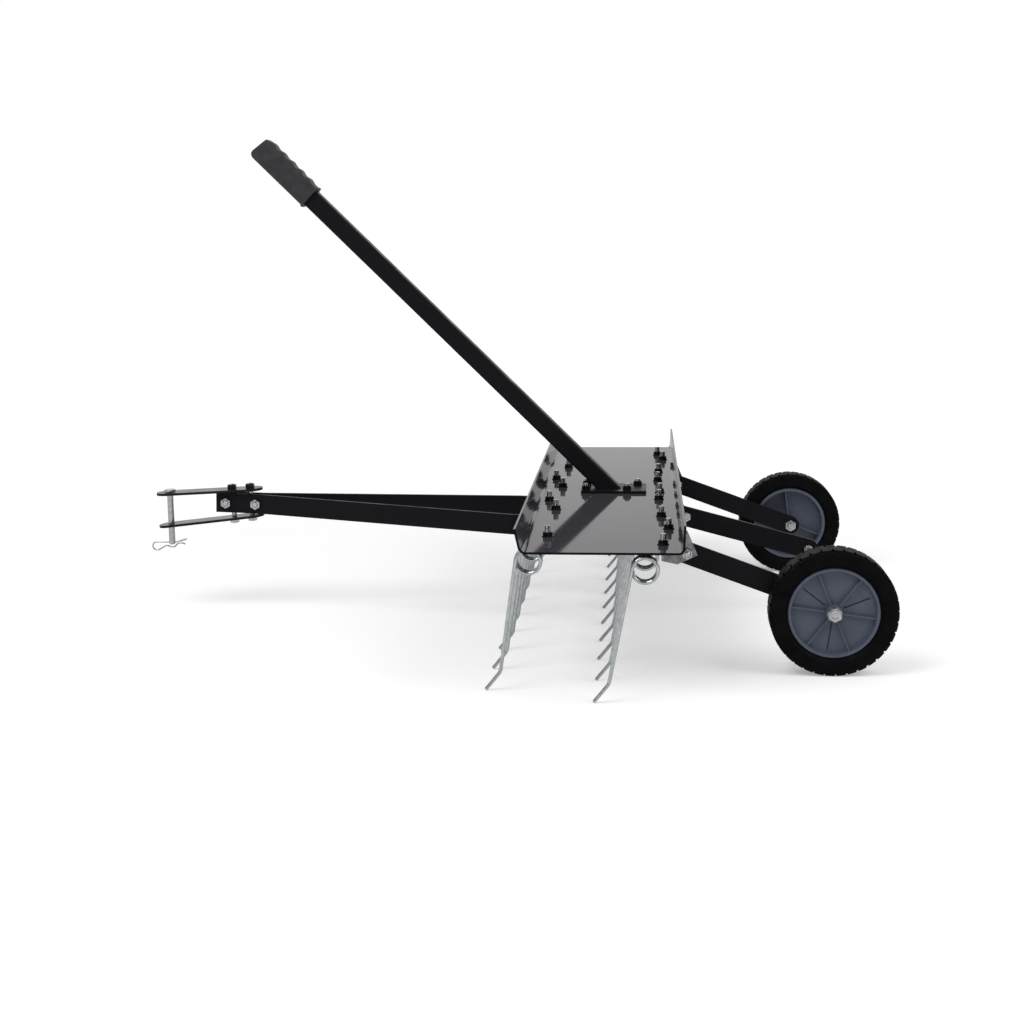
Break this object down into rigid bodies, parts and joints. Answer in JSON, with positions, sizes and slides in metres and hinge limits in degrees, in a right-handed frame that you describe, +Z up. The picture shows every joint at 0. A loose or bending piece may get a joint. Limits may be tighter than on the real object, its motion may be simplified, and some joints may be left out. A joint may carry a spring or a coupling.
{
  "type": "tow behind aerator",
  "caption": "Tow-behind lawn tool: a channel deck with two rows of coiled spring tines, two rear wheels on flat arms, a hinged drawbar with a clevis hitch, and a slanting lifting handle.",
  "frame": {"origin": "on the ground, halfway between the front and the back of the object and in the middle of its width", "axes": "+X points backwards, away from the hitch, +Y points to the right-hand wheel, +Z points up"},
  "size_m": [1.1449, 1.02, 0.7483],
  "materials": {
    "painted_deck": "gloss black powder coat",
    "painted_bars": "gloss black powder coat",
    "zinc_wire": "satin zinc plating",
    "zinc_steel": "bright zinc plating",
    "dark_nuts": "black oxide, satin",
    "rim": "satin moulded plastic",
    "tyre": "matt rubber",
    "grip": "fine-grained soft plastic"
  },
  "bodies": {
    "chassis": {"deck": "painted_deck", "tine_rear_1": "zinc_wire", "tine_rear_2": "zinc_wire", "tine_rear_3": "zinc_wire", "tine_rear_4": "zinc_wire", "tine_rear_5": "zinc_wire", "tine_front_1": "zinc_wire", "tine_front_2": "zinc_wire", "tine_front_3": "zinc_wire", "tine_front_4": "zinc_wire", "tine_front_5": "zinc_wire", "tine_clips_rear": "zinc_steel", "tine_clips_front": "zinc_steel", "tine_bolts_rear": "zinc_steel", "tine_bolts_front": "zinc_steel", "tine_nuts_rear": "zinc_steel", "tine_nuts_front": "zinc_steel", "arm_left": "painted_bars", "arm_right": "painted_bars", "arm_centre": "painted_bars", "arm_bracket_left": "zinc_steel", "arm_bracket_right": "zinc_steel", "arm_bracket_centre": "zinc_steel", "bracket_bolts": "zinc_steel", "bracket_nuts": "dark_nuts", "arm_bolts": "zinc_steel", "arm_nuts": "zinc_steel", "centre_end_bolt": "zinc_steel", "centre_end_nut": "zinc_steel", "axle_bolt_left": "zinc_steel", "axle_bolt_right": "zinc_steel", "axle_nuts": "zinc_steel", "axle_spacers": "zinc_steel", "axle_washers": "zinc_steel", "drawbar_bracket_left": "painted_bars", "drawbar_bracket_right": "painted_bars", "pivot_bolts": "zinc_steel", "pivot_nuts": "zinc_steel", "handle_foot": "painted_bars", "handle_tube": "painted_bars", "handle_grip": "grip", "handle_bolts": "zinc_steel", "handle_nuts": "zinc_steel"},
    "wheel_left": {"rim_left": "rim", "tyre_left": "tyre"},
    "wheel_right": {"rim_right": "rim", "tyre_right": "tyre"},
    "towbar": {"drawbar_left": "painted_bars", "drawbar_right": "painted_bars", "hitch_plate_upper": "painted_bars", "hitch_plate_lower": "painted_bars", "hitch_cross_bolts": "zinc_steel", "hitch_cross_nuts": "zinc_steel", "hitch_plate_bolts": "zinc_steel", "hitch_plate_nuts": "dark_nuts"},
    "pin": {"hitch_pin": "zinc_steel", "hitch_clip": "zinc_wire"}
  },
  "joints": [
    {"name": "wheel_left_spin", "type": "hinge", "parent": "chassis", "child": "wheel_left", "pos_m": [0.48462, -0.345, 0.088], "axis": [0, 1, 0], "continuous": true},
    {"name": "wheel_right_spin", "type": "hinge", "parent": "chassis", "child": "wheel_right", "pos_m": [0.48462, 0.345, 0.088], "axis": [0, 1, 0], "continuous": true},
    {"name": "drawbar_swing", "type": "hinge", "parent": "chassis", "child": "towbar", "pos_m": [0.04262, 0, 0.159], "axis": [0, 1, 0], "range_deg": [-9, 14]},
    {"name": "pin_lift", "type": "slide", "parent": "towbar", "child": "pin", "axis": [0, 0, 1], "range_m": [0, 0.022]}
  ]
}
